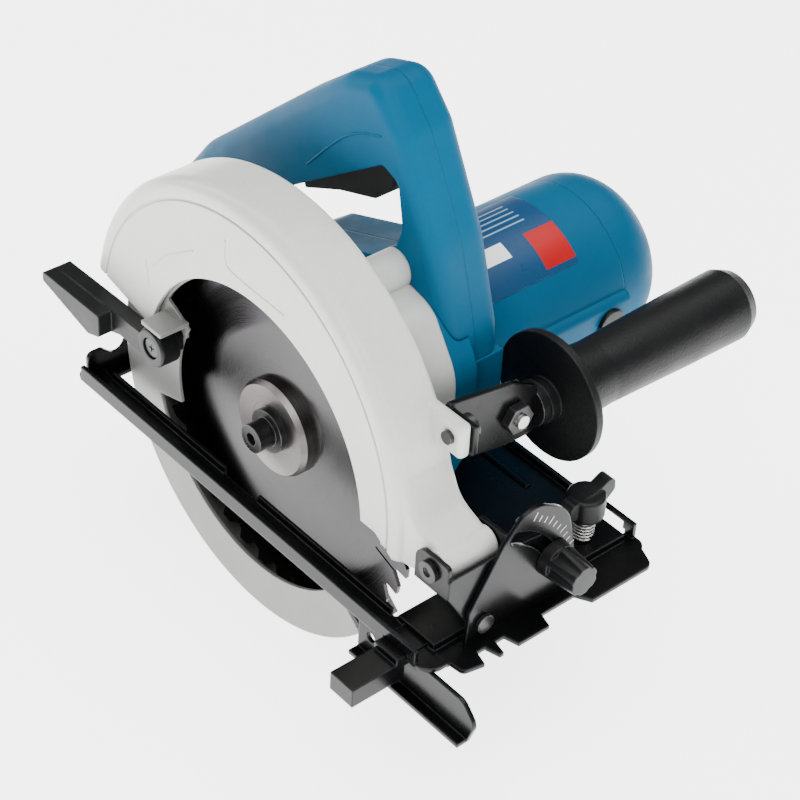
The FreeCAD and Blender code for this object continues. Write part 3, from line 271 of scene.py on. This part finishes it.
def label_material():
    """Printed panel of plain blocks and bars on the barrel."""
    paint = Paint("label_print")
    low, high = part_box("label_plate")
    x, y, z = paint.xyz()
    along = paint.spread(y, 0.0, 1.0, low.y, high.y)
    above = paint.math("SUBTRACT", z, MOTOR_AXIS.z)
    ahead = paint.math("SUBTRACT", x, MOTOR_AXIS.x)
    turn = paint.math("ARCTAN2", above, ahead)
    first = math.atan2(low.z - MOTOR_AXIS.z, high.x - MOTOR_AXIS.x)
    last = math.atan2(high.z - MOTOR_AXIS.z, low.x - MOTOR_AXIS.x)
    around = paint.spread(turn, 0.0, 1.0, first, last)

    def inside(value, start, end):
        past_start = paint.math("GREATER_THAN", value, start)
        return paint.math("MULTIPLY", past_start, paint.math("LESS_THAN", value, end))

    def block(along_start, along_end, around_start, around_end):
        across = inside(along, along_start, along_end)
        return paint.math("MULTIPLY", across, inside(around, around_start, around_end))

    speck = paint.spread(paint.noise(500.0), 0.0, 0.3)
    tone = paint.mix(speck, LABEL_BLUE, LABEL_DEEP_BLUE)
    rows = inside(paint.math("FRACT", paint.math("MULTIPLY", around, LABEL_ROWS)), 0.35, 0.60)
    bars = paint.math("MULTIPLY", rows, block(0.12, 0.80, 0.57, 0.93))
    tone = paint.mix(bars, tone, LABEL_BAR)
    tone = paint.mix(block(0.0, 0.42, 0.30, 0.48), tone, LABEL_WHITE)
    tone = paint.mix(block(0.66, 1.0, 0.06, 0.46), tone, LABEL_RED)
    paint.set(Base_Color=tone, Roughness=paint.spread(paint.noise(60.0), 0.26, 0.38), Specular_IOR_Level=0.22)
    paint.bump(paint.noise(1200.0), 0.15, 0.00003, 0.0004)
    return paint


LABEL = label_material()

FINISHES = {
    "black_painted_steel": BLACK_PAINT, "grey_painted_case": CASE_PAINT, "guard_grey": GUARD_PAINT,
    "cast_alloy": CAST_ALLOY, "blue_plastic": BLUE_PLASTIC, "black_plastic": BLACK_PLASTIC,
    "blade_steel": BLADE_STEEL, "zinc_steel": ZINC_STEEL, "dark_steel": DARK_STEEL,
    "copper_alloy": COPPER, "carbon": CARBON, "label": LABEL, "black_rubber": RUBBER,
}


# The stud's bright end starts this far behind the front of the collar.
STUD_END = 0.0014
STUD_STEEL = (0.60, 0.60, 0.58)


def bolt_material():
    """Black nut with the bright end of its stud in front."""
    # Its wear colour lightens sharp edges in patches: partly wear, partly a painted edge highlight.
    paint = plain("bolt_steel", (0.010, 0.010, 0.011), 0.30, grain=700.0, rounding=0.0005,
                  wear_and_edge_highlight=(0.10, 0.10, 0.10))
    collar_low, collar_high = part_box("side_handle_stud")
    place = paint.xyz()
    bright = paint.math("MULTIPLY", paint.math("GREATER_THAN", place[0], collar_high.x - STUD_END),
                        paint.math("GREATER_THAN", place[1], collar_low.y))
    black = paint.shader.inputs["Base Color"].links[0].from_socket
    paint.set(Base_Color=paint.mix(bright, black, STUD_STEEL), Metallic=bright)
    return paint


SPECIAL = {"side_handle": GRIP_PLASTIC, "outer_flange": FLANGE_STEEL, "side_bracket_bolts": bolt_material()}

for subpart in frame["record"]["subparts"]:
    node = NODES[subpart["node"]]
    finish = SPECIAL.get(subpart["node"], FINISHES[subpart["material_slot"]])
    if not node.material_slots:
        node.data.materials.append(None)
    for material_slot in node.material_slots:
        material_slot.material = finish.material

# ------------------------------------------------------------------ added pieces


def tube(name, paths, radius, finish, body, flat=None):
    """Round bead along each path; flat squeezes it along one axis about the path's own level."""
    curve = bpy.data.curves.new(name, "CURVE")
    curve.dimensions = "3D"
    curve.bevel_depth = radius
    curve.bevel_resolution = 3
    curve.use_fill_caps = True
    for path in paths:
        spline = curve.splines.new("POLY")
        spline.points.add(len(path) - 1)
        for point, place in zip(spline.points, path):
            point.co = (*place, 1.0)
    holder = bpy.data.objects.new(name + "_curve", curve)
    bpy.context.scene.collection.objects.link(holder)
    mesh = bpy.data.meshes.new_from_object(holder.evaluated_get(bpy.context.evaluated_depsgraph_get()))
    bpy.data.objects.remove(holder)
    if flat:
        axis, level, share = flat
        for vertex in mesh.vertices:
            vertex.co[axis] = level + (vertex.co[axis] - level) * share
    piece = bpy.data.objects.new(name, mesh)
    bpy.context.scene.collection.objects.link(piece)
    mesh.materials.clear()
    mesh.materials.append(finish.material)
    mesh.polygons.foreach_set("use_smooth", [True] * len(mesh.polygons))
    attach(piece, body)
    return piece


def smooth(points, rounds=2):
    """Rounds a short path's corners by cutting them, and keeps its ends."""
    for _ in range(rounds):
        cut = [points[0]]
        for a, b in zip(points, points[1:]):
            cut.append(tuple(0.75 * p + 0.25 * q for p, q in zip(a, b)))
            cut.append(tuple(0.25 * p + 0.75 * q for p, q in zip(a, b)))
        points = cut + [points[-1]]
    return points


CASE_LINE_RADIUS = 0.00055


def case_lines():
    """Thin raised lines moulded on the near face of the blade case, placed from the arbor."""
    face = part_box("blade_case")[0].y
    lines = [[(-0.0743, 0.0527), (-0.0725, 0.0395)],
             smooth([(-0.0179, 0.0945), (-0.0185, 0.0831), (-0.0131, 0.0802), (0.0214, 0.0792)]),
             smooth([(-0.0692, 0.0521), (-0.0601, 0.0631), (-0.0400, 0.0766)], 3)]
    paths = [[(ARBOR.x + ahead, face, ARBOR.z + above) for ahead, above in line] for line in lines]
    tube("case_lines", paths, CASE_LINE_RADIUS, CASE_PAINT, "head", (1, face, 0.55))


BASE_SHEET = 0.0020
BEAD_RADIUS = 0.0019
LONG_BEAD = (-0.062, 0.076, 0.0785)
SHORT_BEAD = (-0.070, -0.030, 0.040)


def base_beads():
    """Pressed beads on the motor side of the base, on top of its sheet."""
    top = BASE_SHEET
    paths = [[(start, side, top), (end, side, top)] for start, end, side in (LONG_BEAD, SHORT_BEAD)]
    tube("base_beads", paths, BEAD_RADIUS, BLACK_PAINT, "base", (2, top, 0.6))


HANDLE_LINE_RADIUS = 0.0006
HANDLE_LINE_SHARES = ((0.51, 0.61), (0.60, 0.745), (0.665, 0.82), (0.75, 0.86))


def handle_lines():
    """Shallow thumb line on the handle's near side, at shares of the handle's box."""
    low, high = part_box("handle_right")
    side = low.y
    line = smooth([(low.x + a * (high.x - low.x), low.z + b * (high.z - low.z))
                   for a, b in HANDLE_LINE_SHARES], 3)
    paths = [[(x, side, z) for x, z in line]]
    tube("handle_lines", paths, HANDLE_LINE_RADIUS, BLUE_PLASTIC, "head", (1, side, 0.5))


TICK_COUNT = 10
TICK_RADIUS = 0.00028
FIRST_TICK_DEGREES = 20.0
TICK_STEP_DEGREES = 4.5
TICK_START = 0.0482
LONG_TICK_END = 0.0522
SHORT_TICK_END = 0.0510


def bevel_ticks():
    """Degree marks beside the arc slot of the front quadrant."""
    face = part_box("bevel_quadrant")[1].x
    pivot = next(joint for joint in frame["joints"] if joint["name"] == "bevel_tilt")["pos_m"]
    paths = []
    for index in range(TICK_COUNT):
        turn = math.radians(FIRST_TICK_DEGREES + TICK_STEP_DEGREES * index)
        reach = LONG_TICK_END if index % 3 == 0 else SHORT_TICK_END
        paths.append([(face, pivot[1] + radius * math.cos(turn), pivot[2] + radius * math.sin(turn))
                      for radius in (TICK_START, reach)])
    tube("bevel_ticks", paths, TICK_RADIUS, TICK_PAINT, "base", (0, face, 0.5))


case_lines()
base_beads()
handle_lines()
bevel_ticks()

# ------------------------------------------------------------------ stage

FLOOR_HALF = 3.0
FLOOR_GAP = 0.0005
FLOOR_GLOW = 3.4
FLOOR_TONES = ((0.90, 0.90, 0.90), (0.93, 0.93, 0.93))
WORLD_STRENGTH = 0.28
LIGHT_AIM = (0.0, 0.05, 0.05)
# Each light is its name, place, width, watts and height; a square light has no height.
LIGHTS = (("top", (0.1, 0.2, 2.4), 3.2, 118.0, None),
          ("key", (1.0, -1.4, 1.4), 0.55, 19.0, 1.4),
          ("front_strip", (1.7, 0.2, 0.7), 0.35, 9.0, 1.4),
          ("rear_edge", (-1.4, -0.4, 0.9), 0.4, 9.0, 1.3))


def backdrop():
    """Pale, faintly glowing floor just under the lowest part of the saw."""
    half = FLOOR_HALF
    level = cad_box[0].z - FLOOR_GAP
    data = bpy.data.meshes.new("floor")
    data.from_pydata([(-half, -half, level), (half, -half, level), (half, half, level), (-half, half, level)],
                     [], [(0, 1, 2, 3)])
    floor = bpy.data.objects.new("floor", data)
    bpy.context.scene.collection.objects.link(floor)
    paint = Paint("floor_paint")
    drift = paint.spread(paint.noise(3.0), 0.0, 1.0)
    paint.set(Base_Color=paint.mix(drift, *FLOOR_TONES), Roughness=0.8,
              Emission_Color=(1.0, 1.0, 1.0, 1.0), Emission_Strength=FLOOR_GLOW)
    data.materials.append(paint.material)


def area_light(name, place, size, watts, size_y):
    data = bpy.data.lights.new(name, "AREA")
    data.energy = watts
    data.size = size
    if size_y:
        data.shape = "RECTANGLE"
        data.size_y = size_y
    lamp = bpy.data.objects.new(name, data)
    lamp.location = place
    lamp.rotation_euler = (Vector(LIGHT_AIM) - Vector(place)).to_track_quat("-Z", "Y").to_euler()
    bpy.context.scene.collection.objects.link(lamp)


def studio():
    for light in LIGHTS:
        area_light(*light)
    world = bpy.data.worlds.new("studio")
    world.use_nodes = True
    background = world.node_tree.nodes["Background"]
    background.inputs["Color"].default_value = (1.0, 1.0, 1.0, 1.0)
    background.inputs["Strength"].default_value = WORLD_STRENGTH
    bpy.context.scene.world = world


backdrop()
studio()
